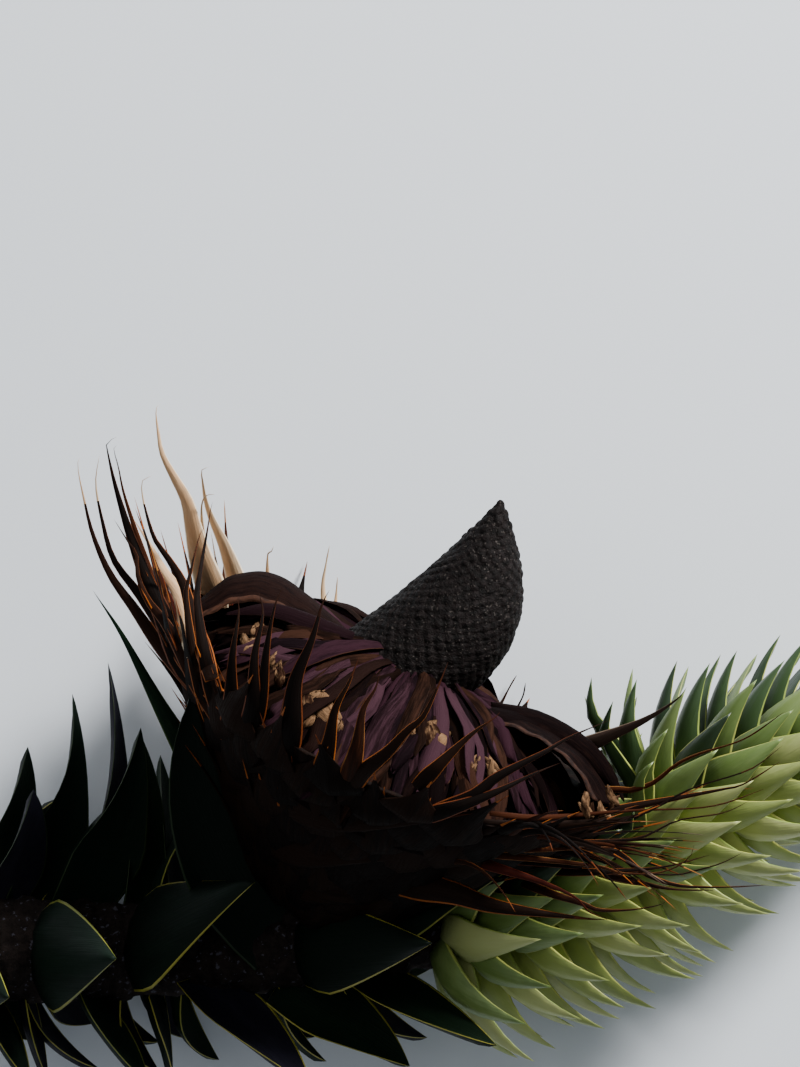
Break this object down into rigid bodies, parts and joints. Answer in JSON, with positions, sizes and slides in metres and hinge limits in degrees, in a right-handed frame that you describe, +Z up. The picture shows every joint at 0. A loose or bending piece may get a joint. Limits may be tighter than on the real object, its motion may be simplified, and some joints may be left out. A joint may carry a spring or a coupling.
{
  "type": "monkey puzzle tree branch with a spent seed cone",
  "caption": "Cut branch of a monkey puzzle tree with stiff overlapping leaves and a spent cone: a dark core in a ring of dry scales and bracts.",
  "frame": {"origin": "middle of the bounding box, on the surface that the branch lies on", "axes": "+X from the sawn end to the tip of the shoot, +Y the way the cone stands out of the stem, +Z up; the picture looks along -Z"},
  "size_m": [0.2591, 0.1686, 0.1401],
  "materials": {
    "bark": "rough grey-brown bark with leaf scars",
    "core": "pitted near-black cone core",
    "seed_scale": "dry purple-brown fibrous scales",
    "bract": "dry brown bracts with orange edges",
    "old_leaf": "dark green leathery leaves",
    "young_leaf": "mid green leathery leaves with yellow edges"
  },
  "bodies": {
    "root": {"stem": "bark", "cone_stalk": "bark", "cone_core": "core", "seed_scales_1": "seed_scale", "seed_scales_2": "seed_scale", "seed_scales_3": "seed_scale", "seed_scales_4": "seed_scale", "seed_scales_5": "seed_scale", "seed_scales_6": "seed_scale", "bract_arc_1": "bract", "bract_arc_2": "bract", "bract_arc_3": "bract", "bract_arc_4": "bract", "bract_arc_5": "bract", "bract_arc_6": "bract", "bract_arc_7": "bract", "bract_arc_8": "bract", "bract_arc_9": "bract", "bract_arc_10": "bract", "old_leaf_1": "old_leaf", "old_leaf_2": "old_leaf", "old_leaf_3": "old_leaf", "old_leaf_4": "old_leaf", "old_leaf_5": "old_leaf", "old_leaf_6": "old_leaf", "old_leaf_7": "old_leaf", "old_leaf_8": "old_leaf", "old_leaf_9": "old_leaf", "old_leaf_10": "old_leaf", "old_leaf_11": "old_leaf", "old_leaf_12": "old_leaf", "old_leaf_13": "old_leaf", "old_leaf_14": "old_leaf", "old_leaf_15": "old_leaf", "old_leaf_16": "old_leaf", "old_leaf_17": "old_leaf", "old_leaf_18": "old_leaf", "old_leaf_19": "old_leaf", "old_leaf_20": "old_leaf", "back_leaf_1": "old_leaf", "back_leaf_2": "old_leaf", "back_leaf_3": "old_leaf", "back_leaf_4": "old_leaf", "back_leaf_5": "old_leaf", "back_leaf_6": "old_leaf", "back_leaf_7": "old_leaf", "back_leaf_8": "old_leaf", "shoot_foliage_1": "young_leaf", "shoot_foliage_2": "young_leaf", "shoot_foliage_3": "young_leaf", "shoot_foliage_4": "young_leaf", "shoot_foliage_5": "young_leaf"}
  },
  "joints": []
}
